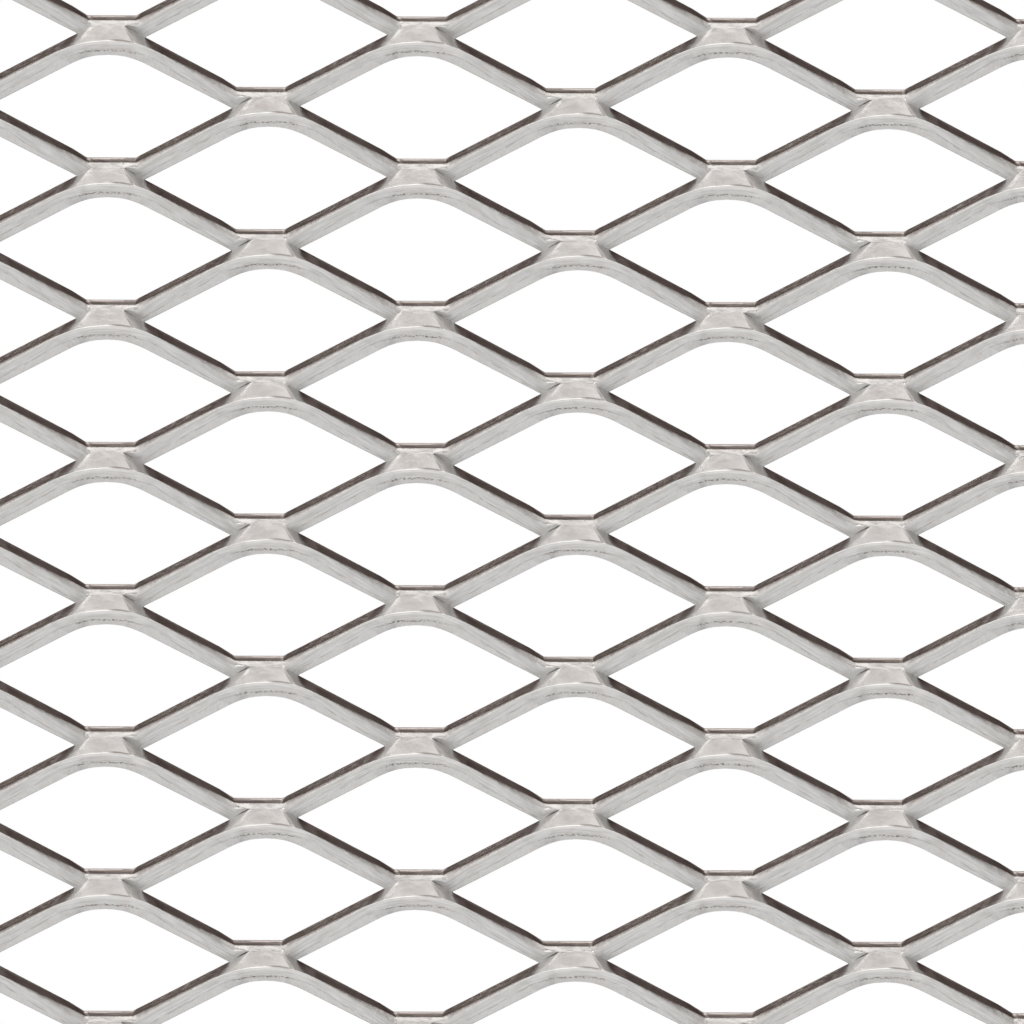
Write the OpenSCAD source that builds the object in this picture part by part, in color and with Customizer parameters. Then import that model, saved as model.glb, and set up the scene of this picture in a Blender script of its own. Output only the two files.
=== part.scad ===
// Raised expanded metal sheet.
// One plate, slit and stretched in a press: each stroke of a toothed blade slits one strand
// off the plate and pushes it down between the bonds left by the stroke before. The sheet
// lies flat on the lowest edges of its bonds, with the long way of the diamonds along X.

/* [Mesh pattern] */
// Long way of a diamond, bond centre to bond centre
long_pitch = 50.8; // [44:0.1:60]
// Short way of a diamond, bond centre to bond centre
short_pitch = 23.3; // [21:0.1:30]
// Width that the sheet is sheared to, to the nearest whole diamond
sheet_width = 304.8; // [60:0.1:320]
// Height that the sheet is cut to, to the nearest whole strand
sheet_height = 304.8; // [60:0.1:310]

/* [Strand] */
// Width of a strand, which is the feed of one press stroke
strand_width = 4.15; // [3:0.05:5]
// Thickness of the plate
strand_thickness = 2.9; // [1.5:0.1:3.6]
// Lean of a strand's top face from the plane of the sheet, in degrees
strand_tilt = 71; // [66:1:78]

/* [Bond] */
// Uncut length between the ends of two slits
bond_length = 5.2; // [4:0.1:7]
// Lean of a bond's top face from the plane of the sheet, in degrees
bond_tilt = 51; // [45:1:62]
// Length along X over which a strand's back edge turns from the bond's lean to its own
twist_length = 3.7; // [3:0.1:5]
// Length of the flat that a tooth presses into a strand
tooth_flat = 7.6; // [6.2:0.1:10]
// How far across the strand's width a tooth presses
tooth_bite = 2.7; // [2:0.1:3.2]
// Sideways slip of alternate press strokes, to either side
stroke_slip = 0.47; // [0:0.01:0.5]

/* [Hidden] */

half_pitch = long_pitch / 2;
row_step = short_pitch / 2;
last_column = 2 * round(sheet_width / long_pitch);
last_strand = round(sheet_height / row_step) - 1;
full_width = last_column * half_pitch;

// Along a plate of this lean, away from its cut front edge
function back(lean) = [0, cos(lean), -sin(lean)];
// Straight through a plate of this lean, from its top face to its underside
function through(lean) = [0, -sin(lean), -cos(lean)];
function sideways(x) = [x, 0, 0];

// Places on a bond, from the middle of its slit line on the top face. The bond's flat plate
// reaches back past the slit line by bond_reach, and then the tooth's flat takes over.
bond_reach = strand_width - tooth_bite;
slit_end = sideways(bond_length / 2);
slit_under = strand_thickness * through(bond_tilt);
arch_front = -strand_width * back(bond_tilt);
arch_front_under = arch_front + slit_under;
flat_crease = bond_reach * back(bond_tilt);
flat_back = flat_crease + tooth_bite * back(strand_tilt);
flat_back_under = flat_back + strand_thickness * through(strand_tilt);

// A strand's straight run along its top back edge, from an arch at x = 0 on the bond above,
// down to the corner of the next tooth flat
flat_corner = [half_pitch - tooth_flat / 2, flat_back[1] - row_step, flat_back[2]];
run = flat_corner - slit_end;
run_dir = run / norm(run);
across_strand = strand_width * back(strand_tilt);
strand_normal = cross(run_dir, back(strand_tilt)) / norm(cross(run_dir, back(strand_tilt)));
run_through = -strand_thickness * strand_normal;
flat_normal = -through(strand_tilt);
corner_spread = strand_thickness * (1 - flat_normal * strand_normal) / strand_normal[0];

// Lowest and highest places of the sheet, before it is set on the floor
floor_z = flat_back_under[2];
edge_low = min(slit_under[1], flat_back_under[1] - across_strand[1]);
edge_high = (last_strand + 1) * row_step;

// The round front edge of an arch, seen from above: a parabola that leaves the peak level and
// ends along the strand's straight edge through on_edge, at shares of its length from 0 to 1
front_shares = [0.25, 0.5, 0.75, 1];
function arch_plan(peak, on_edge, share) =
    let (
        knee = on_edge + run_dir * (on_edge[1] - peak[1]) / -run_dir[1],
        end = knee + run_dir * (knee - peak)[0]
    )
    pow(1 - share, 2) * peak + 2 * share * (1 - share) * knee + pow(share, 2) * end;

// A strand keeps its width as it turns out of the bond, so each point p of its front edge
// stands above the back edge beside it, from bond_end towards lean_end, by what that leaves.
function raised(p, bond_end, lean_end) =
    let (
        beside = max(0, (p[0] - bond_end[0]) / (lean_end - bond_end)[0]),
        back_edge = bond_end + beside * (lean_end - bond_end)
    )
    [p[0], p[1], back_edge[2] + sqrt(pow(strand_width, 2) - pow(back_edge[1] - p[1], 2))];

// Places where a strand has turned to its own lean, on its back edges, and those at its next
// tooth flat. Each section is [back top, front top, front under, back under].
lean_back = slit_end + run * twist_length / run[0];
slit_end_under = slit_end + slit_under;
front_line = slit_end - across_strand;
lean_back_under = arch_plan(arch_front_under, front_line + run_through, 1) + across_strand;
function edge_top(share) = raised(arch_plan(arch_front, front_line, share), slit_end, lean_back);
function edge_under(share) =
    raised(arch_plan(arch_front_under, front_line + run_through, share), slit_end_under, lean_back_under);
flat_corner_under = flat_corner + strand_thickness * through(strand_tilt) - sideways(corner_spread);
section_at_flat = [
    flat_corner,
    flat_corner - across_strand,
    flat_corner_under - across_strand,
    flat_corner_under
];
crease_corner = flat_corner - tooth_bite * back(strand_tilt);

// A face is a list of points, clockwise from outside, and is cut into triangles as a fan.
function fan(p) = [for (i = [1 : len(p) - 2]) [p[0], p[i], p[i + 1]]];
function turned(triangles) = [for (t = triangles) [t[2], t[1], t[0]]];

// Where strands, arches and flats lie along X. A strand is flat at every other column.
function slip(strand) = strand % 2 == 0 ? -stroke_slip : stroke_slip;
function column_x(column) = column * half_pitch;
function is_flat(strand, column) = (strand + column) % 2 == 0;
function is_inside(column) = column > 0 && column < last_column;
function centre_x(strand, column) = column_x(column) + (is_inside(column) ? slip(strand) : 0);
function row_y(row) = [0, row * row_step, 0];

// One strand from its arch down to its flat, to the right (side 1) or to the left (side -1)
function run_faces(strand, arch, side) =
    let (
        shift = row_y(strand + 1) + sideways(column_x(arch) + slip(strand)),
        seat = function(p) shift + [side * p[0], p[1], p[2]],
        peak = row_y(strand + 1) + sideways(centre_x(strand, arch)),
        top = concat([peak + arch_front], [for (s = front_shares) seat(edge_top(s))]),
        under = concat([peak + arch_front_under], [for (s = front_shares) seat(edge_under(s))]),
        slit = seat(slit_end),
        slit_below = seat(slit_end_under),
        lean = seat(lean_back),
        lean_below = seat(lean_back_under),
        at_flat = [for (p = section_at_flat) seat(p)],
        crease = seat(crease_corner),
        lower_end = row_y(strand) + sideways(column_x(arch + side) + slip(strand - 1)) - side * slit_end,
        faces = concat(
            [for (i = [0 : 3]) each fan([top[i], top[i + 1], under[i + 1], under[i]])],
            fan([slit, lean, top[3], top[2]]),
            fan([lean, slit, slit_below, lean_below]),
            fan([lean_below, slit_below, under[2], under[3], under[4]]),
            fan([lean, at_flat[0], crease, at_flat[1], top[4], top[3]]),
            fan([top[4], at_flat[1], at_flat[2], under[4]]),
            fan([under[4], at_flat[2], at_flat[3], lean_below]),
            fan([lean_below, at_flat[3], at_flat[0], lean]),
            [[crease, lower_end, at_flat[1]]],
            fan([at_flat[1], lower_end, lower_end + slit_under, at_flat[2]]),
            [[at_flat[2], lower_end + slit_under, at_flat[3]]]
        )
    )
    side > 0 ? faces : turned(faces);

// The ends of a bond's slit line, or the sheet's cut edge where that comes first
function slit_left(strand, column) =
    row_y(strand + 1) + sideways(column > 0 ? column_x(column) + slip(strand) - slit_end[0] : 0);
function slit_right(strand, column) =
    row_y(strand + 1)
    + sideways(column < last_column ? column_x(column) + slip(strand) + slit_end[0] : full_width);

// One face of the rounded front half of a bond, from its slit line to its front edge. The
// front edge runs out to the share where the strand's legs take over.
function arch_face(left, right, peak, middle, edge, to_left, to_right) =
    let (
        mirrored = function(p) [-p[0], p[1], p[2]],
        left_front = to_left ? [for (i = [0, 1]) middle + mirrored(edge(front_shares[i]))] : [],
        right_front = to_right ? [for (i = [1, 0]) middle + edge(front_shares[i])] : []
    )
    concat(
        [[left, right, peak]],
        fan(concat([right], right_front, [peak])),
        fan(concat([left, peak], left_front))
    );

// The front half of a bond, at the top of a strand. The sheet's cut side takes one half away.
function arch_faces(strand, column) =
    let (
        left = slit_left(strand, column),
        right = slit_right(strand, column),
        peak = row_y(strand + 1) + sideways(centre_x(strand, column)),
        middle = row_y(strand + 1) + sideways(column_x(column) + slip(strand)),
        to_left = column > 0,
        to_right = column < last_column,
        face = function(down, front, edge)
            arch_face(left + down, right + down, peak + front, middle, edge, to_left, to_right)
    )
    concat(
        face([0, 0, 0], arch_front, function(s) edge_top(s)),
        turned(face(slit_under, arch_front_under, function(s) edge_under(s))),
        strand == last_strand ? fan([left + slit_under, right + slit_under, right, left]) : []
    );

// The pressed back half of a bond, at the bottom of a strand
function flat_faces(strand, column) =
    let (
        left = slit_left(strand - 1, column),
        right = slit_right(strand - 1, column),
        middle = row_y(strand) + sideways(column_x(column) + slip(strand)),
        half = sideways(tooth_flat / 2),
        spread = sideways(tooth_flat / 2 + corner_spread),
        cut_side = row_y(strand) + sideways(column_x(column)),
        from = column > 0 ? middle - half : cut_side,
        to = column < last_column ? middle + half : cut_side,
        back_from = (column > 0 ? middle - spread : cut_side) + flat_back_under,
        back_to = (column < last_column ? middle + spread : cut_side) + flat_back_under
    )
    concat(
        fan([from + flat_back, to + flat_back, to + flat_crease, from + flat_crease]),
        fan([from + flat_crease, to + flat_crease, right, left]),
        fan([back_from, back_to, to + flat_back, from + flat_back]),
        fan([left + slit_under, right + slit_under, back_to, back_from]),
        strand == 0 ? fan([left, right, right + slit_under, left + slit_under]) : []
    );

// The sheared side of the sheet, where it cuts a strand at the middle of a bond
function sheared_faces(strand, column) =
    let (
        arch = row_y(strand + 1) + sideways(column_x(column)),
        flat = row_y(strand) + sideways(column_x(column)),
        outline = is_flat(strand, column)
            ? [flat + flat_back, flat + flat_crease, flat, flat + slit_under, flat + flat_back_under]
            : [arch, arch + arch_front, arch + arch_front_under, arch + slit_under]
    )
    column == 0 ? fan(outline) : turned(fan(outline));

function strand_faces(strand) = [
    for (column = [0 : last_column]) each
        is_flat(strand, column)
            ? flat_faces(strand, column)
            : concat(
                arch_faces(strand, column),
                column > 0 ? run_faces(strand, column, -1) : [],
                column < last_column ? run_faces(strand, column, 1) : []
            ),
    for (column = [0, last_column]) each sheared_faces(strand, column)
];

module expanded_mesh_sheet() {
    triangles = [for (strand = [0 : last_strand]) each strand_faces(strand)];
    color("silver")
        translate([-full_width / 2, -(edge_low + edge_high) / 2, -floor_z])
            polyhedron(
                points = [for (t = triangles) each t],
                faces = [for (i = [0 : len(triangles) - 1]) [3 * i, 3 * i + 1, 3 * i + 2]]
            );
}

expanded_mesh_sheet();
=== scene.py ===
import math

import bpy
import numpy as np
from mathutils import Matrix, Vector


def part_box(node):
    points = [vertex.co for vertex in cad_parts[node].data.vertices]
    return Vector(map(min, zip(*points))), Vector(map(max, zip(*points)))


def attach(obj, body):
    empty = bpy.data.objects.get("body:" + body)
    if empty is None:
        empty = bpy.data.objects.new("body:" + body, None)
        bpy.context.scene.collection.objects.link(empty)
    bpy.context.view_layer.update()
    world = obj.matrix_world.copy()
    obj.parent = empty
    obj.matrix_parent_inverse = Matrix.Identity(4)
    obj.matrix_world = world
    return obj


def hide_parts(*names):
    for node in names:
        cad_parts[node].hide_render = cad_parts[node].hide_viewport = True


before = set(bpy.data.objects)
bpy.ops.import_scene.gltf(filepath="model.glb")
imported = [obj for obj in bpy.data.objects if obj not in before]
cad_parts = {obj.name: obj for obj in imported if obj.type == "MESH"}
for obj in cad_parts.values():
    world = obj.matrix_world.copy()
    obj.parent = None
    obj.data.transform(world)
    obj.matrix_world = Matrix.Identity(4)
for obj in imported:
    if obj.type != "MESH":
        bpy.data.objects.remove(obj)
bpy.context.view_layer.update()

# The sheet is raised expanded metal: one aluminium plate that a toothed blade slit and
# stretched, stroke by stroke. Each strand arches up at one bond and is pressed flat at the
# next, and nothing is welded, so the whole sheet is one closed skin.
MM = 0.001
long_pitch = 50.8 * MM
short_pitch = 23.3 * MM
strand_width = 4.15 * MM
strand_thickness = 2.9 * MM
strand_tilt = math.radians(71)
bond_length = 5.2 * MM
bond_tilt = math.radians(51)
twist_length = 3.7 * MM
tooth_flat = 7.6 * MM
tooth_bite = 2.7 * MM
stroke_slip = 0.47 * MM

half_pitch = long_pitch / 2
row_step = short_pitch / 2
sheet_low, sheet_high = (np.array(corner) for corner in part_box("expanded_mesh_sheet"))
columns = round((sheet_high - sheet_low)[0] / half_pitch)
strands = round((sheet_high - sheet_low)[1] / row_step)


def back(lean):
    """A unit step along a plate of this lean, away from its cut front edge."""
    return np.array([0, math.cos(lean), -math.sin(lean)])


def through(lean):
    """A unit step through a plate of this lean, from its top face to its underside."""
    return np.array([0, -math.sin(lean), -math.cos(lean)])


# Places on a strand's edges, from the middle of its arch's bond, on the line of the slits
bond_reach = strand_width - tooth_bite
slit_end = np.array([bond_length / 2, 0, 0])
slit_under = strand_thickness * through(bond_tilt)
arch_front = -strand_width * back(bond_tilt)
flat_crease = bond_reach * back(bond_tilt)
flat_back = flat_crease + tooth_bite * back(strand_tilt)
flat_back_under = flat_back + strand_thickness * through(strand_tilt)
down_a_row = np.array([0, -row_step, 0])

# The straight run of a strand, from the slit's end down to the corner of the next flat
flat_corner = np.array([half_pitch - tooth_flat / 2, 0, 0]) + flat_back + down_a_row
run = flat_corner - slit_end
run_dir = run / np.linalg.norm(run)
across_strand = strand_width * back(strand_tilt)
strand_normal = np.cross(run_dir, back(strand_tilt))
strand_normal /= np.linalg.norm(strand_normal)
run_through = -strand_thickness * strand_normal
corner_spread = strand_thickness * (1 + through(strand_tilt) @ strand_normal) / strand_normal[0]
flat_corner_under = flat_corner + strand_thickness * through(strand_tilt) - [corner_spread, 0, 0]
lean_back = slit_end + run * twist_length / run[0]


def arch_plan(peak, on_edge, share):
    """Points of an arch's round front edge in plan, one for each share of its length.

    A quadratic curve (1-s)^2 peak + 2s(1-s) knee + s^2 end. It leaves the peak level and ends
    along the strand's straight edge, which passes through on_edge.
    """
    knee = on_edge + run_dir * (on_edge[1] - peak[1]) / -run_dir[1]
    end = knee + run_dir * (knee - peak)[0]
    s = np.asarray(share, float)[:, None]
    return (1 - s) ** 2 * peak + 2 * s * (1 - s) * knee + s**2 * end


def on_line(x, *knots):
    """Points at each x on the bent line through the knots, which are in the order of their x."""
    knots = np.array(knots)
    y, z = (np.interp(x, knots[:, 0], knots[:, axis]) for axis in (1, 2))
    return np.stack([x, y, z], 1)


def raised(plan, back_edge):
    """The points of a front edge, set over the back edge so that the strand keeps its width.

    Height = height of the back edge + sqrt(width^2 - distance in plan^2).
    """
    points = plan.copy()
    in_plan = back_edge[:, 1] - plan[:, 1]
    points[:, 2] = back_edge[:, 2] + np.sqrt(strand_width**2 - in_plan**2)
    return points


def unit(v):
    """A vector divided by its length, or each of an array of vectors."""
    return v / np.linalg.norm(v, axis=-1, keepdims=True)


# A half strand is worked out once for each hand: seen from above, the one falls to the right
# from its arch and the other to the left. The press made the two a little different.
RING, STATIONS = 16, 20
SLIT_STATION, CORNER_STATION, TIP_STATION = 3, 13, 16
ROLL_START, ROLL_END = 4, 8

# The arch's front edge passes a ridge, where the bond's slope meets a twisted facet, and then
# a lean, where the facet meets the leg. Each is at a share of the arch's length.
ridge_share = {"right": 0.48, "left": 0.56}
ridge_ease = {"right": 0.05, "left": 0.12}
ridge_round = {"right": 0.25 * MM, "left": 0.4 * MM}
share_past_ridge = 0.12 / MM
lean_share = {"right": 0.76, "left": 0.90}
beside_lean = 0.03

# Along the back edge the twist ends late. At the flat, the tooth's mark starts up the leg, and
# the flat's corner stands further out than on the lower edges.
late_twist = {"right": 0.8 * MM, "left": 0.3 * MM}
mark_length = {"right": 2.4 * MM, "left": 0.7 * MM}
corner_shift = {"right": 0.45 * MM, "left": 0.0}
before_slit_end = 0.4 * MM
beside_twist = 0.25 * MM
past_twist = 1.4 * MM
before_run = 0.3 * MM
on_run_shares = np.array([0.35, 0.75])
on_flat_shares = 0.3, 0.7


def edge_lines(hand, tip_shift):
    """The four long edges of half a strand, from an arch at x = 0 down to the next flat.

    Each is an array of one point for each station: 0 to 3 lie in the upper bond, 4 to 9 go
    round the arch, 10 to 12 are on the straight run, 13 is at the corner of the flat and 16 to
    19 lie in the lower bond. tip_shift is how far that bond stands from the flat's middle.
    """
    soft = ridge_round[hand]
    ridge, lean = ridge_share[hand], lean_share[hand]
    to_ridge = [0, ridge / 2, ridge - ridge_ease[hand], ridge]
    past_ridge = [ridge + share_past_ridge * soft, (ridge + lean) / 2]
    at_lean = [lean - beside_lean, lean + beside_lean, (lean + 1) / 2, 1]
    share = np.array([*to_ridge, *past_ridge, *at_lean])
    plan = arch_plan(arch_front, slit_end - across_strand, share)
    plan_under = arch_plan(arch_front + slit_under, slit_end - across_strand + run_through, share)
    lean_back_under = plan_under[-1] + across_strand
    middle = half_pitch + tip_shift
    tip = middle - slit_end[0]
    flat_end = np.array([middle, *flat_back[1:]]) + down_a_row
    flat_end_under = np.array([middle, *flat_back_under[1:]]) + down_a_row
    near_corner = flat_corner - run * (mark_length[hand] + corner_shift[hand]) / run[0]
    corner = flat_corner - [corner_shift[hand], 0, 0]
    top_knots = [0, 0, 0], slit_end, near_corner, corner, flat_end
    under_bond = slit_under, slit_end + slit_under
    under_knots = *under_bond, lean_back_under, flat_corner_under, flat_end_under
    front_arch = raised(plan, on_line(plan[:, 0], *top_knots))
    front_arch_under = raised(plan_under, on_line(plan_under[:, 0], *under_knots))

    in_bond = np.array([0, slit_end[0] / 2, slit_end[0] - before_slit_end, slit_end[0]])

    def round_twist(end, *further):
        """The x of an edge's stations in the upper bond and round a twist that stops at end."""
        in_twist = slit_end[0] + soft, (slit_end[0] + end) / 2
        return [*in_bond, *in_twist, end - beside_twist, end + beside_twist, *further]

    def whole(arch_x, corner_x):
        """The x of all of an edge's stations, from those up to the straight run."""
        before = corner_x - mark_length[hand]
        on_run = arch_x[-1] + on_run_shares * (before - arch_x[-1])
        on_flat = [corner_x + part * (tip - corner_x) for part in on_flat_shares]
        return np.concatenate([arch_x, on_run, [before, corner_x], on_flat, middle - in_bond[::-1]])

    twist_end = lean_back[0] + late_twist[hand]
    back_x = round_twist(twist_end, lean_back[0] + past_twist, plan[-1, 0] - before_run)
    under_end = lean_back_under[0]
    under_x = round_twist(under_end, under_end + MM, under_end + 2 * MM)
    front = on_line(
        whole(plan[:, 0], corner[0]),
        front_arch[-1],
        flat_corner - across_strand,
        [tip, -row_step, 0],
        [middle, -row_step, 0],
    )
    front_under = on_line(
        whole(plan_under[:, 0], flat_corner_under[0]),
        front_arch_under[-1],
        flat_corner_under - across_strand,
        np.array([tip, -row_step, 0]) + slit_under,
        np.array([middle, -row_step, 0]) + slit_under,
    )
    front[: len(share)] = front_arch
    front_under[: len(share)] = front_arch_under
    top_back = on_line(whole(back_x, corner[0]), *top_knots)
    back_under = on_line(whole(under_x, flat_corner_under[0]), *under_knots)
    return top_back, front, front_under, back_under


# How far the edge that the blade rolled over reaches on to the top face and down the cut front,
# in mm, for each of some stations. Beside the slit's ends it takes in all of the bent lip,
# which slopes down straight rather than round where bent_lip is 1.
roll_stations = [0, 3, 6, 9, 11, 12, 13, 15, 16, 19]
roll_on_top = {
    "right": [0.24, 0.24, 0.20, 0.20, 0.85, 1.20, 1.42, 1.40, 1.35, 1.35],
    "left": [0.24, 0.24, 0.24, 0.50, 0.85, 1.32, 1.38, 1.35, 1.35, 1.35],
}
roll_down_front = {
    "right": [0.48, 0.44, 0.20, 0.15, 0.55, 0.90, 1.10, 0.06, 0, 0],
    "left": [0.48, 0.44, 0.32, 0.38, 0.50, 0.80, 0.80, 0.06, 0, 0],
}
bent_lip = {
    "right": [0, 0, 0, 0, 0.8, 1, 1, 0.2, 0, 0],
    "left": [0, 0, 0, 0, 0.6, 1, 1, 0.3, 0, 0],
}
lip_slope = 0.6
short_lip = 1.0 * MM
roll_turns = np.radians([0, 22.5, 45, 67.5, 90])

# The other edges have a small round. edge_drop moves a leg's front edge down the cut front, or
# up where it is less than 0, and drawn_thin thins the leg beside a flat from below. Both come
# and go along the strand by shares, given for some stations.
edge_round = 0.10 * MM
edge_drop = {"right": 0.15 * MM, "left": -0.05 * MM}
drop_share = [4, 8, 12, 14], [0, 1, 1, 0]
drawn_thin = {"right": 0.26 * MM, "left": 0.05 * MM}
thin_share = [9, 12, 14, 16], [0, 1, 1, 0]

# Two lines bound the strip that the tooth pressed along a flat, at these steps from the back
# edge. They close up on the leg, and lie apart again at shares of the arch's top face.
mark_edge = np.array([[0, -0.10, 0.40], [0, -0.37, 0.67]]) * MM
mark_on_arch = 0.22, 0.44
mark_share = [9, 12], [1, 0]


def half_strand(hand, tip_shift):
    """The skin of half a strand: one ring of points for each station along it.

    A ring runs over the top face, round the rolled edge, down the cut front, along the
    underside and up the cut back. The roll is a quarter of an ellipse: from the top face,
    (1 - sin a) of its reach there, to (1 - cos a) of its reach down the front.
    """
    top_back, top_front, front_under, back_under = edge_lines(hand, tip_shift)
    station = np.arange(STATIONS)
    flat = (station >= CORNER_STATION)[:, None]
    free_front = (station < TIP_STATION)[:, None]
    free_back = (station > SLIT_STATION)[:, None]

    down = unit(front_under - top_front)
    top_front = top_front + down * edge_drop[hand] * np.interp(station, *drop_share)[:, None]
    thin = np.interp(station, *thin_share)[:, None]
    front_under = front_under - down * drawn_thin[hand] * thin
    under, up = unit(back_under - front_under), unit(top_back - back_under)
    to_front = top_front - top_back
    crease = top_back + to_front * tooth_bite / strand_width
    past_corner = station > CORNER_STATION
    crease[past_corner] = (top_back + [0, *(flat_crease - flat_back)[1:]])[past_corner]
    round_back, round_front = free_back * edge_round, free_front * edge_round
    start = top_back + unit(to_front) * round_back
    spread = np.interp(station, *mark_share)[:, None]
    marks = [
        np.where(flat, top_back + edge, start + to_front * part * spread)
        for edge, part in zip(mark_edge, mark_on_arch)
    ]
    over = unit(crease - top_front)
    on_top, on_front, bend = (
        np.interp(station, roll_stations, table[hand])[:, None]
        for table in (roll_on_top, roll_down_front, bent_lip)
    )
    # Where the slit's end comes close to the flat's corner, the short lip between them lies in
    # the plane of the bond, so it goes as far down the front as that plane does.
    if (top_front[TIP_STATION] - top_front[CORNER_STATION])[0] < short_lip:
        lip = slice(CORNER_STATION, TIP_STATION + 1)
        to_plane = (crease - top_front) @ through(bond_tilt) / (down @ through(bond_tilt))
        on_front[lip, 0] = to_plane[lip] / (lip_slope * MM)
        bend[lip] = 1
    roll = []
    for turn in roll_turns:
        off_front, off_top = 1 - math.sin(turn), 1 - math.cos(turn)
        off_top = np.maximum(off_top, bend * lip_slope * (1 - off_front))
        roll.append(top_front + (on_top * off_front * over + on_front * off_top * down) * MM)
    ring = [
        start,
        *marks,
        crease,
        *roll,
        top_front + (front_under - top_front) * 0.5,
        front_under - down * round_front,
        front_under + under * free_front * edge_round,
        back_under - under * round_back,
        back_under + up * round_back,
        back_under + (top_back - back_under) * 0.5,
        top_back - up * round_back,
    ]
    return np.stack(ring, 1)


# The ring's first points, up to this one, bound the pressed strip. The offset keeps the marks of
# one strand from those of the next.
STRIP_END = 2
strand_offset = 37.3 * MM


def whole_sheet():
    """Every half strand of the sheet, as arrays of half strand, station, ring and value.

    Returns the points and the six measures that the finish is laid on by, in mm: the distance
    across the sheet, with strand_offset added for each strand; the distance from the middle of
    the arch, less than 0 to its left; the distances round the ring past the end of the rolled
    edge and past its start; the distance past the lower slit's end; and a share, 1 on the strip
    that the tooth pressed. The ring's first point is repeated as its last. The sheared sides
    cut what stands past them.
    """
    on_strip = (np.arange(RING + 1) <= STRIP_END) * MM
    on_strip = on_strip * (np.arange(STATIONS) >= CORNER_STATION - 1)[:, None]
    points, measures = [], []
    for strand in range(strands):
        slip = stroke_slip if strand % 2 else -stroke_slip
        for column in range(columns):
            hand = "right" if (strand + column) % 2 else "left"
            side = 1 if hand == "right" else -1
            arch = column if hand == "right" else column + 1
            tip_shift = -2 * side * slip
            ring = half_strand(hand, tip_shift)
            ring = np.concatenate([ring, ring[:, :1]], 1)
            from_arch = side * ring[..., 0]
            past_tip = ring[..., 0] - (half_pitch + tip_shift - slit_end[0])
            steps = np.linalg.norm(np.diff(ring, axis=1), axis=2)
            round_ring = np.concatenate([np.zeros((STATIONS, 1)), np.cumsum(steps, 1)], 1)
            past_roll = round_ring - round_ring[:, ROLL_END, None]
            past_start = round_ring - round_ring[:, ROLL_START, None]
            place = [arch * half_pitch + slip, (strand + 1) * row_step, 0]
            ring = ring * [side, 1, 1] + place
            across = ring[..., 0] + strand * strand_offset
            if column == 0:
                ring[0 if hand == "right" else -1, :, 0] = 0
            if column == columns - 1:
                ring[-1 if hand == "right" else 0, :, 0] = columns * half_pitch
            measure = [across, from_arch, past_roll, past_start, past_tip, on_strip]
            points.append(ring)
            measures.append(np.stack(measure, -1) / MM)
    return np.array(points), np.array(measures)


# A ring's faces in the cut front and in the cut back, and how close two points count as one
CUT_FRONT, CUT_BACK = (8, 9, 10), (12, 13, 14)
same_point = 1e-7


def closed_skin(points):
    """Joins the half strands into one closed mesh: returns its points, and for each triangle
    its corners' places in the mesh and in the arrays of measures.

    The cut faces inside a bond are left out, where two strands are one plate. Points that fall
    on each other are merged, and the sheared ends are capped.
    """
    half = np.arange(len(points))
    strand, column = half // columns, half % columns
    right = (strand + column) % 2 == 1
    index = np.arange(points[..., 0].size).reshape(points.shape[:3])
    keep = np.ones((len(points), STATIONS - 1, RING), bool)
    station, face = np.arange(STATIONS - 1), np.arange(RING)
    keep[np.ix_(strand > 0, station >= TIP_STATION, np.isin(face, CUT_FRONT))] = False
    keep[np.ix_(strand < strands - 1, station < SLIT_STATION, np.isin(face, CUT_BACK))] = False

    corners = index[:, :-1, :-1], index[:, :-1, 1:], index[:, 1:, 1:], index[:, 1:, :-1]
    quads = np.stack(corners, -1)
    quads[~right] = quads[~right][..., [0, 3, 2, 1]]
    quads = quads[keep]
    triangles = [quads[:, [0, 1, 2]], quads[:, [0, 2, 3]]]
    for side, at_side in ((0, column == 0), (1, column == columns - 1)):
        for sheared in np.flatnonzero(at_side):
            loop = index[sheared, 0 if right[sheared] == (side == 0) else -1, :RING]
            fan = np.stack([np.full(RING - 2, loop[0]), loop[1:-1], loop[2:]], 1)
            triangles.append(fan[:, ::-1] if side == 0 else fan)
    triangles = np.concatenate(triangles)

    places = np.round(points.reshape(-1, 3) / same_point).astype(np.int64)
    places, merged = np.unique(places, axis=0, return_inverse=True)
    a, b, c = merged.ravel()[triangles].T
    has_area = (a != b) & (b != c) & (a != c)
    return places * same_point, np.stack([a, b, c], 1)[has_area], triangles[has_area]


sharp_angle = math.radians(34)
points, measures = whole_sheet()
vertices, faces, corners = closed_skin(points)
vertices += [sheet_low[0], sheet_high[1] - strands * row_step, -flat_back_under[2]]
vertices = np.clip(vertices, sheet_low, sheet_high)
mesh = bpy.data.meshes.new("expanded_metal")
mesh.from_pydata(vertices.tolist(), [], faces.tolist())
at_corners = measures.reshape(-1, 6)[corners.ravel()]
for name, first in (("along", 0), ("round", 2), ("tooth", 4)):
    layer = mesh.uv_layers.new(name=name)
    layer.uv.foreach_set("vector", at_corners[:, first : first + 2].ravel())
sheet = bpy.data.objects.new("expanded_metal", mesh)
bpy.context.scene.collection.objects.link(sheet)
mesh.shade_smooth()
mesh.set_sharp_from_angle(angle=sharp_angle)
even = sheet.modifiers.new("flat_faces_stay_flat", "WEIGHTED_NORMAL")
even.keep_sharp = True

metal = bpy.data.materials.new("bare_metal")
metal.use_nodes = True
nodes, links = metal.node_tree.nodes, metal.node_tree.links
shader = nodes["Principled BSDF"]
shader.inputs["Metallic"].default_value = 1


def uv_map(name):
    """The two measures of one of the sheet's own maps, in mm."""
    node = nodes.new("ShaderNodeUVMap")
    node.uv_map = name
    split = nodes.new("ShaderNodeSeparateXYZ")
    links.new(node.outputs["UV"], split.inputs[0])
    return split.outputs["X"], split.outputs["Y"]


def put(value, socket):
    """Links an output to a socket, or sets a plain value on it."""
    if hasattr(value, "is_linked"):
        links.new(value, socket)
    else:
        socket.default_value = value


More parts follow.
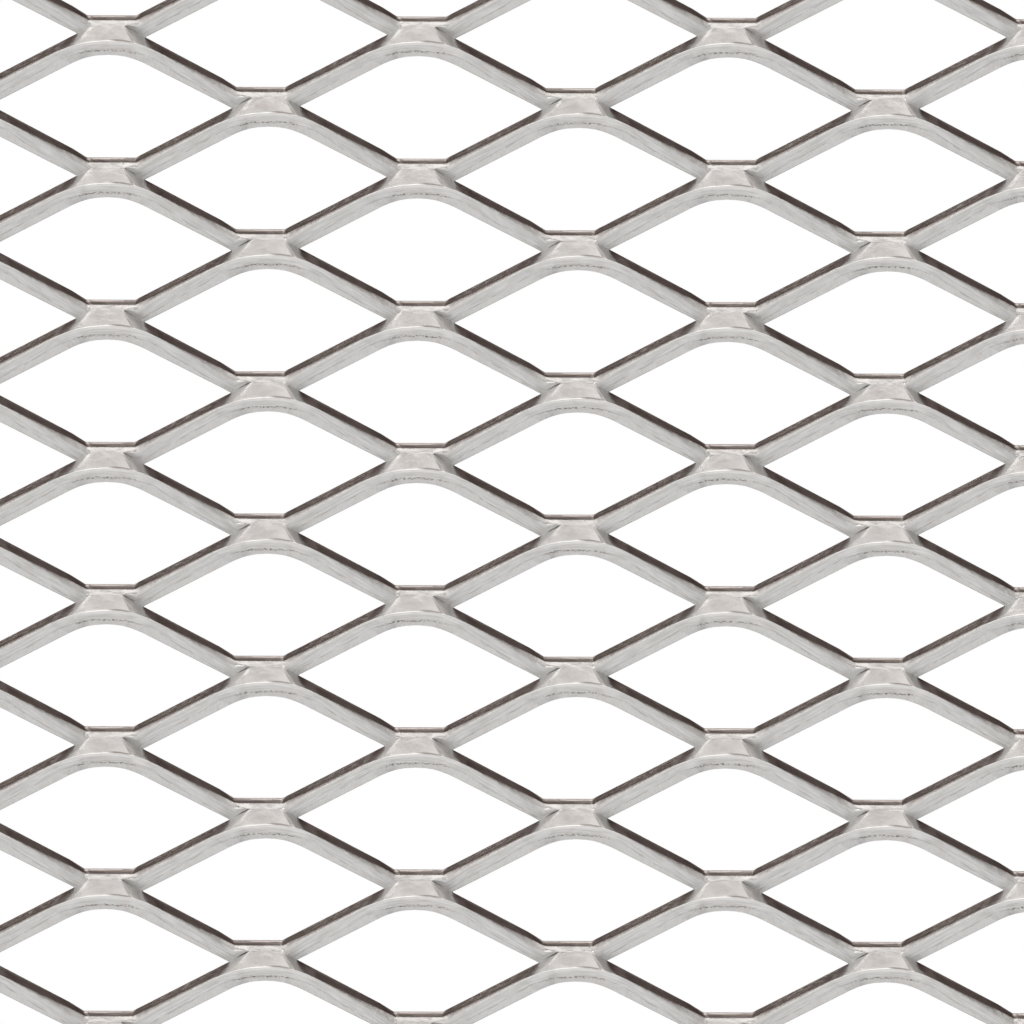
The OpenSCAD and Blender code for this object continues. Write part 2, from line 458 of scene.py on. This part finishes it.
def calc(operation, *values):
    """One step of arithmetic on outputs or numbers."""
    node = nodes.new("ShaderNodeMath")
    node.operation = operation
    for value, socket in zip(values, node.inputs):
        put(value, socket)
    return node.outputs[0]


def plus(first, *others):
    """The sum of two or more values."""
    for other in others:
        first = calc("ADD", first, other)
    return first


def times(first, *others):
    """The product of two or more values."""
    for other in others:
        first = calc("MULTIPLY", first, other)
    return first


def minus(first, second):
    """The first value less the second."""
    return calc("SUBTRACT", first, second)


def off(value, line):
    """How far a value is from a line, to either side."""
    return calc("ABSOLUTE", minus(value, line))


def step(value, start, stop, low=0.0, high=1.0):
    """Goes smoothly from low to high as value goes from start to stop."""
    node = nodes.new("ShaderNodeMapRange")
    node.interpolation_type = "SMOOTHSTEP"
    names = "Value", "From Min", "From Max", "To Min", "To Max"
    for name, number in zip(names, (value, start, stop, low, high)):
        put(number, node.inputs[name])
    return node.outputs["Result"]


def noise(x, y, scale, detail):
    """Noise from about 0 to 1 over a map whose axes are x and y; scale is per mm."""
    place = nodes.new("ShaderNodeCombineXYZ")
    put(x, place.inputs["X"])
    put(y, place.inputs["Y"])
    node = nodes.new("ShaderNodeTexNoise")
    node.inputs["Scale"].default_value = scale
    node.inputs["Detail"].default_value = detail
    links.new(place.outputs[0], node.inputs["Vector"])
    return node.outputs["Fac"]


def coats(colour, *layers):
    """Lays colours over the first, one after another. A layer is its share and its colour."""
    for share, over in layers:
        node = nodes.new("ShaderNodeMix")
        node.data_type = "RGBA"
        put(share, node.inputs["Factor"])
        put(colour, node.inputs["A"])
        put(over, node.inputs["B"])
        colour = node.outputs["Result"]
    return colour


across, from_arch = uv_map("along")
past_roll, past_start = uv_map("round")
past_tip, pressed = uv_map("tooth")
off_arch = off(from_arch, 0.0)


def by_hand(left, right):
    """A value that is one number on the left half of an arch and another on its right half."""
    return step(from_arch, -0.5, 0.5, left, right)


# The finish is laid on at places in mm. On the top face they are less than 0, counted from the
# rolled edge towards the back edge, and on the cut front they are more than 0.
top_face_end = -4.3
cut_front_end = 3.1
top_face = calc("GREATER_THAN", past_start, top_face_end)
cut_front = times(step(past_roll, -0.1, 0.2), step(past_roll, cut_front_end, cut_front_end - 0.3))

# The plate's rolled skin on the steep top face of a strand is painted dark, darker than the cut
# metal: painted shade for the dark surroundings that the steep face mirrors. It ends at the rolled
# edge, at the arch's creases and at the strip that the tooth pressed.
crease_place, crease_slant = by_hand(8.5, 7.9), by_hand(0.40, 0.10)
crease_line = plus(crease_place, times(past_start, crease_slant))
ragged = minus(noise(across, past_start, scale=3.5, detail=2.0), 0.5)
skin = times(
    step(plus(past_start, ragged), 0.15, -0.25),
    step(minus(off_arch, crease_line), -0.3, 0.9),
    step(pressed, 0.98, 0.80),
    top_face,
)

# The press galled that skin into streaks of brighter metal. They are strong on the left half of an
# arch, as painted light from the left, and near the back edge the skin is painted lighter, as
# painted bounce light from the floor.
galled = noise(times(across, 0.45), past_start, scale=1.9, detail=4.0)
galled_and_lit = times(
    step(galled, 0.44, 0.66),
    by_hand(0.95, 0.03),
    step(past_start, -0.9, -2.6, 0.35, 1.0),
    step(past_tip, -2.5, -8.0, 0.2, 1.0),
)
# Painted light: a lighter band along the back edge.
galled_and_lit = calc("MAXIMUM", galled_and_lit, step(plus(past_start, ragged), -2.3, -3.8, 0.0, 0.7))
specks = step(noise(across, past_roll, scale=4.0, detail=2.0), 0.60, 0.72)

# Painted shade: the dark colours of the steep top face, darkest towards the flat.
skin_shade = 0.36, 0.322, 0.309, 1
skin_shade_by_flat = 0.29, 0.256, 0.244, 1
galled_and_lit_colour = 0.82, 0.785, 0.77, 1
speck_colour = 0.70, 0.665, 0.65, 1
skin_colour = coats(
    skin_shade,
    (step(past_tip, -7.0, -3.0), skin_shade_by_flat),
    (galled_and_lit, galled_and_lit_colour),
    (times(specks, 0.45), speck_colour),
)

# The cut front is burnished smooth by the blade, with streaks, down to where the plate broke
# off, which is duller and torn across. A thin crack and small pits follow the line between.
break_depth, break_waver = 1.05, 0.7
waver = noise(across, 0.0, scale=0.4, detail=4.0)
below_break = minus(past_roll, plus(times(waver, break_waver), break_depth))
off_break = off(below_break, 0.0)
broken = times(step(below_break, -0.08, 0.08), cut_front)
burnished = times(cut_front, minus(1.0, broken))
streaks = noise(times(across, 0.07), past_roll, scale=3.4, detail=3.0)
tears = noise(across, times(past_roll, 0.30), scale=3.5, detail=3.0)
dulled = plus(
    times(broken, step(tears, 0.30, 0.70, 0.14, 0.0)),
    times(burnished, step(streaks, 0.38, 0.62, 0.32, 0.0)),
)
crack = times(step(off_break, 0.16, 0.04), step(waver, 0.40, 0.60), cut_front)
scribble = noise(times(across, 0.5), past_roll, scale=4.4, detail=3.0)
pits = times(step(scribble, 0.51, 0.60), step(off_break, 0.35, 0.05), step(off_arch, 6.5, 3.5))

# The bond's slope faces the strongest light and is painted brighter than the cut metal: a painted
# highlight. It is stained in the middle, and the strip that the tooth pressed has the stain's
# colour.
in_bond = times(step(off_arch, 4.6, 3.0), top_face)
bond_highlight = times(in_bond, step(past_start, 0.6, -0.1))
mottle = noise(across, past_roll, scale=0.55, detail=3.0)
slope_middle = -0.8, -1.9
off_middle = plus(off(from_arch, slope_middle[0]), off(past_start, slope_middle[1]))
stained = plus(
    step(mottle, 0.45, 0.75, 0.0, 0.25),
    times(step(off_middle, 3.4, 0.6), step(mottle, 0.42, 0.62, 0.05, 0.26)),
    step(pressed, 0.80, 0.98),
)

# The slope's right half ends in a line of painted shade at the rolled edge, laid over the edge's
# highlight. The twisted facets to both sides of the slope, past the arch's ridges, are painted
# darker as painted shade, most of all the right one, which faces away from the light from the left.
shade_line_place = -0.12
shade_line = times(
    step(off(past_start, shade_line_place), 0.36, 0.12),
    step(from_arch, -0.3, 1.6),
    step(off_arch, 4.4, 3.4),
)
ridge_place, ridge_slant, ridge_blur = by_hand(5.3, 3.95), by_hand(0.60, 0.32), by_hand(0.6, 0.1)
ridge_line = plus(ridge_place, times(past_start, ridge_slant))
facet_end = by_hand(9.0, 6.9)
# Painted shade on the twisted facets, stronger on the right one.
facet_shade = times(
    step(minus(off_arch, ridge_line), times(ridge_blur, -1.0), ridge_blur),
    step(past_start, 0.15, -0.1),
    step(off_arch, facet_end, minus(facet_end, 1.5)),
    top_face,
)

cut_metal = 0.82, 0.82, 0.815, 1
# Painted highlight: the colour of the bond's slope.
bond_highlight_colour = 0.98, 0.98, 0.975, 1
stain = 0.64, 0.59, 0.57, 1
dull_metal = 0.42, 0.41, 0.40, 1
crack_colour = 0.30, 0.28, 0.27, 1
pit_colour = 0.16, 0.145, 0.135, 1
# Painted shade: the line at the rolled edge and the facets.
shade_line_colour = 0.36, 0.33, 0.32, 1
facet_shade_colour = 0.36, 0.345, 0.335, 1
finish = coats(
    cut_metal,
    (bond_highlight, bond_highlight_colour),
    (stained, stain),
    (dulled, dull_metal),
    (times(crack, 0.40), crack_colour),
    (times(pits, 0.85), pit_colour),
    (times(shade_line, 0.85), shade_line_colour),
    (times(facet_shade, by_hand(0.26, 0.70)), facet_shade_colour),
    (skin, skin_colour),
)
links.new(finish, shader.inputs["Base Color"])
roughness = plus(0.26, times(mottle, 0.10), times(broken, 0.10), times(skin, 0.06))
links.new(roughness, shader.inputs["Roughness"])

# The fine relief is a bump: streaks and tears on the cut front, its pits, the plate's faint
# waves, which the blade ironed out of the bond's slope, and the galled skin.
relief_depth = 0.06 * MM
relief = plus(
    times(streaks, burnished, 0.5),
    times(tears, broken),
    times(pits, -1.2),
    times(mottle, minus(4.0, times(in_bond, 2.2))),
    times(galled, step(past_start, -0.5, -2.2, 0.3, 1.0), by_hand(10.0, 0.8), skin),
)
bump = nodes.new("ShaderNodeBump")
bump.inputs["Strength"].default_value = 0.5
bump.inputs["Distance"].default_value = relief_depth
links.new(relief, bump.inputs["Height"])
links.new(bump.outputs["Normal"], shader.inputs["Normal"])
mesh.materials.append(metal)
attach(sheet, "root")
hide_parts("expanded_mesh_sheet")

# The floor is a plain white studio floor that the sheet lies on. Only the camera sees it, and
# only from above, so that it stays clean and white through the open diamonds.
floor_reach = 30.0
square = (-1, -1), (1, -1), (1, 1), (-1, 1)
floor_corners = [(x * floor_reach, y * floor_reach, 0) for x, y in square]
floor_mesh = bpy.data.meshes.new("floor")
floor_mesh.from_pydata(floor_corners, [], [(0, 1, 2, 3)])
floor = bpy.data.objects.new("floor", floor_mesh)
bpy.context.scene.collection.objects.link(floor)
white = bpy.data.materials.new("white_floor")
white.use_nodes = True
nodes, links = white.node_tree.nodes, white.node_tree.links
nodes.clear()


def mixed(share, first, second, output):
    """Mixes two shaders by a share and links the result to a new output node."""
    mix = nodes.new("ShaderNodeMixShader")
    for source, socket in zip((share, first.outputs[0], second.outputs[0]), mix.inputs):
        links.new(source, socket)
    links.new(mix.outputs[0], nodes.new(output).inputs[0])


floor_ray = nodes.new("ShaderNodeLightPath")
surface = nodes.new("ShaderNodeNewGeometry")
seen_from_above = minus(floor_ray.outputs["Is Camera Ray"], surface.outputs["Backfacing"])
clear = nodes.new("ShaderNodeBsdfTransparent")
glow = nodes.new("ShaderNodeEmission")
mixed(seen_from_above, clear, glow, "ShaderNodeOutputMaterial")
floor_mesh.materials.append(white)

# The light is a white studio all round, brighter from some sides than from others, which only
# the metal mirrors. The camera sees plain white past the floor.
scene = bpy.context.scene
scene.view_settings.view_transform = "Standard"
world = bpy.data.worlds.new("studio")
world.use_nodes = True
scene.world = world
nodes, links = world.node_tree.nodes, world.node_tree.links
nodes.clear()
look = nodes.new("ShaderNodeTexCoord").outputs["Generated"]


def vector_calc(operation, first, second, socket):
    """One step of vector arithmetic. The second value goes into the socket of this name."""
    node = nodes.new("ShaderNodeVectorMath")
    node.operation = operation
    put(first, node.inputs[0])
    put(second, node.inputs[socket])
    return node.outputs["Value" if operation == "DOT_PRODUCT" else "Vector"]


# Each light is a direction, the cosine of the angle from it where the light begins, and its
# colour in the middle.
studio_lights = [
    ((0, 0, 1), -0.2, (0.407, 0.398, 0.388)),
    ((0, -0.62, 0.78), 0.5, (0.17, 0.173, 0.175)),
    ((0, 0.3, 0.95), 0.68, (0.42, 0.41, 0.40)),
    ((0, 1, 0.1), 0.5, (1.55, 1.495, 1.44)),
    ((-1, 0, 0), 0.3, (0.385, 0.34, 0.32)),
    ((0, -1, 0), 0.3, (0.57, 0.552, 0.542)),
    ((0, 0.4, -0.92), 0.4, (0.058, 0.028, 0.022)),
]
studio = (0, 0, 0)
for direction, begins, light_colour in studio_lights:
    towards = vector_calc("DOT_PRODUCT", look, Vector(direction).normalized(), 1)
    light = vector_calc("SCALE", light_colour, step(towards, begins, 1.0), "Scale")
    studio = vector_calc("ADD", studio, light, 1)
mirrored = nodes.new("ShaderNodeBackground")
links.new(studio, mirrored.inputs["Color"])
plain_white = nodes.new("ShaderNodeBackground")
plain_white.inputs["Color"].default_value = (1, 1, 1, 1)
sky_ray = nodes.new("ShaderNodeLightPath")
mixed(sky_ray.outputs["Is Camera Ray"], mirrored, plain_white, "ShaderNodeOutputWorld")

# The camera looks straight down on the sheet from far off, a little from the left. One bond's
# place in the picture and the length of a diamond in pixels set its aim and its distance.
camera_tilt = math.radians(2.5)
camera_roll = math.radians(0.20)
picture_middle = 512
diamond_pixels = 309.8
bond_pixel = 574.6, 383.1
bond_row = 14
pixel = long_pitch * math.cos(camera_tilt) / diamond_pixels
level = np.array([math.cos(camera_tilt), 0, math.sin(camera_tilt)])
away = np.array([-math.sin(camera_tilt), 0, math.cos(camera_tilt)])
upright = np.array([0.0, 1.0, 0.0])
right = level * math.cos(camera_roll) + upright * math.sin(camera_roll)
up = upright * math.cos(camera_roll) - level * math.sin(camera_roll)
bond = np.array([0, sheet_high[1] + (bond_row - strands) * row_step, -flat_back_under[2]])
to_bond = (bond_pixel[0] - picture_middle) * right + (picture_middle - bond_pixel[1]) * up
aim = bond - pixel * to_bond
lens = bpy.data.cameras.new("camera")
lens.lens = 1000
lens.sensor_width = 36
lens.clip_end = 100
distance = 2 * picture_middle * pixel * lens.lens / lens.sensor_width
camera = bpy.data.objects.new("camera", lens)
matrix = np.eye(4)
matrix[:3] = np.stack([right, up, away, aim + distance * away], 1)
camera.matrix_world = Matrix(matrix.tolist())
scene.collection.objects.link(camera)
scene.camera = camera

bpy.context.view_layer.update()
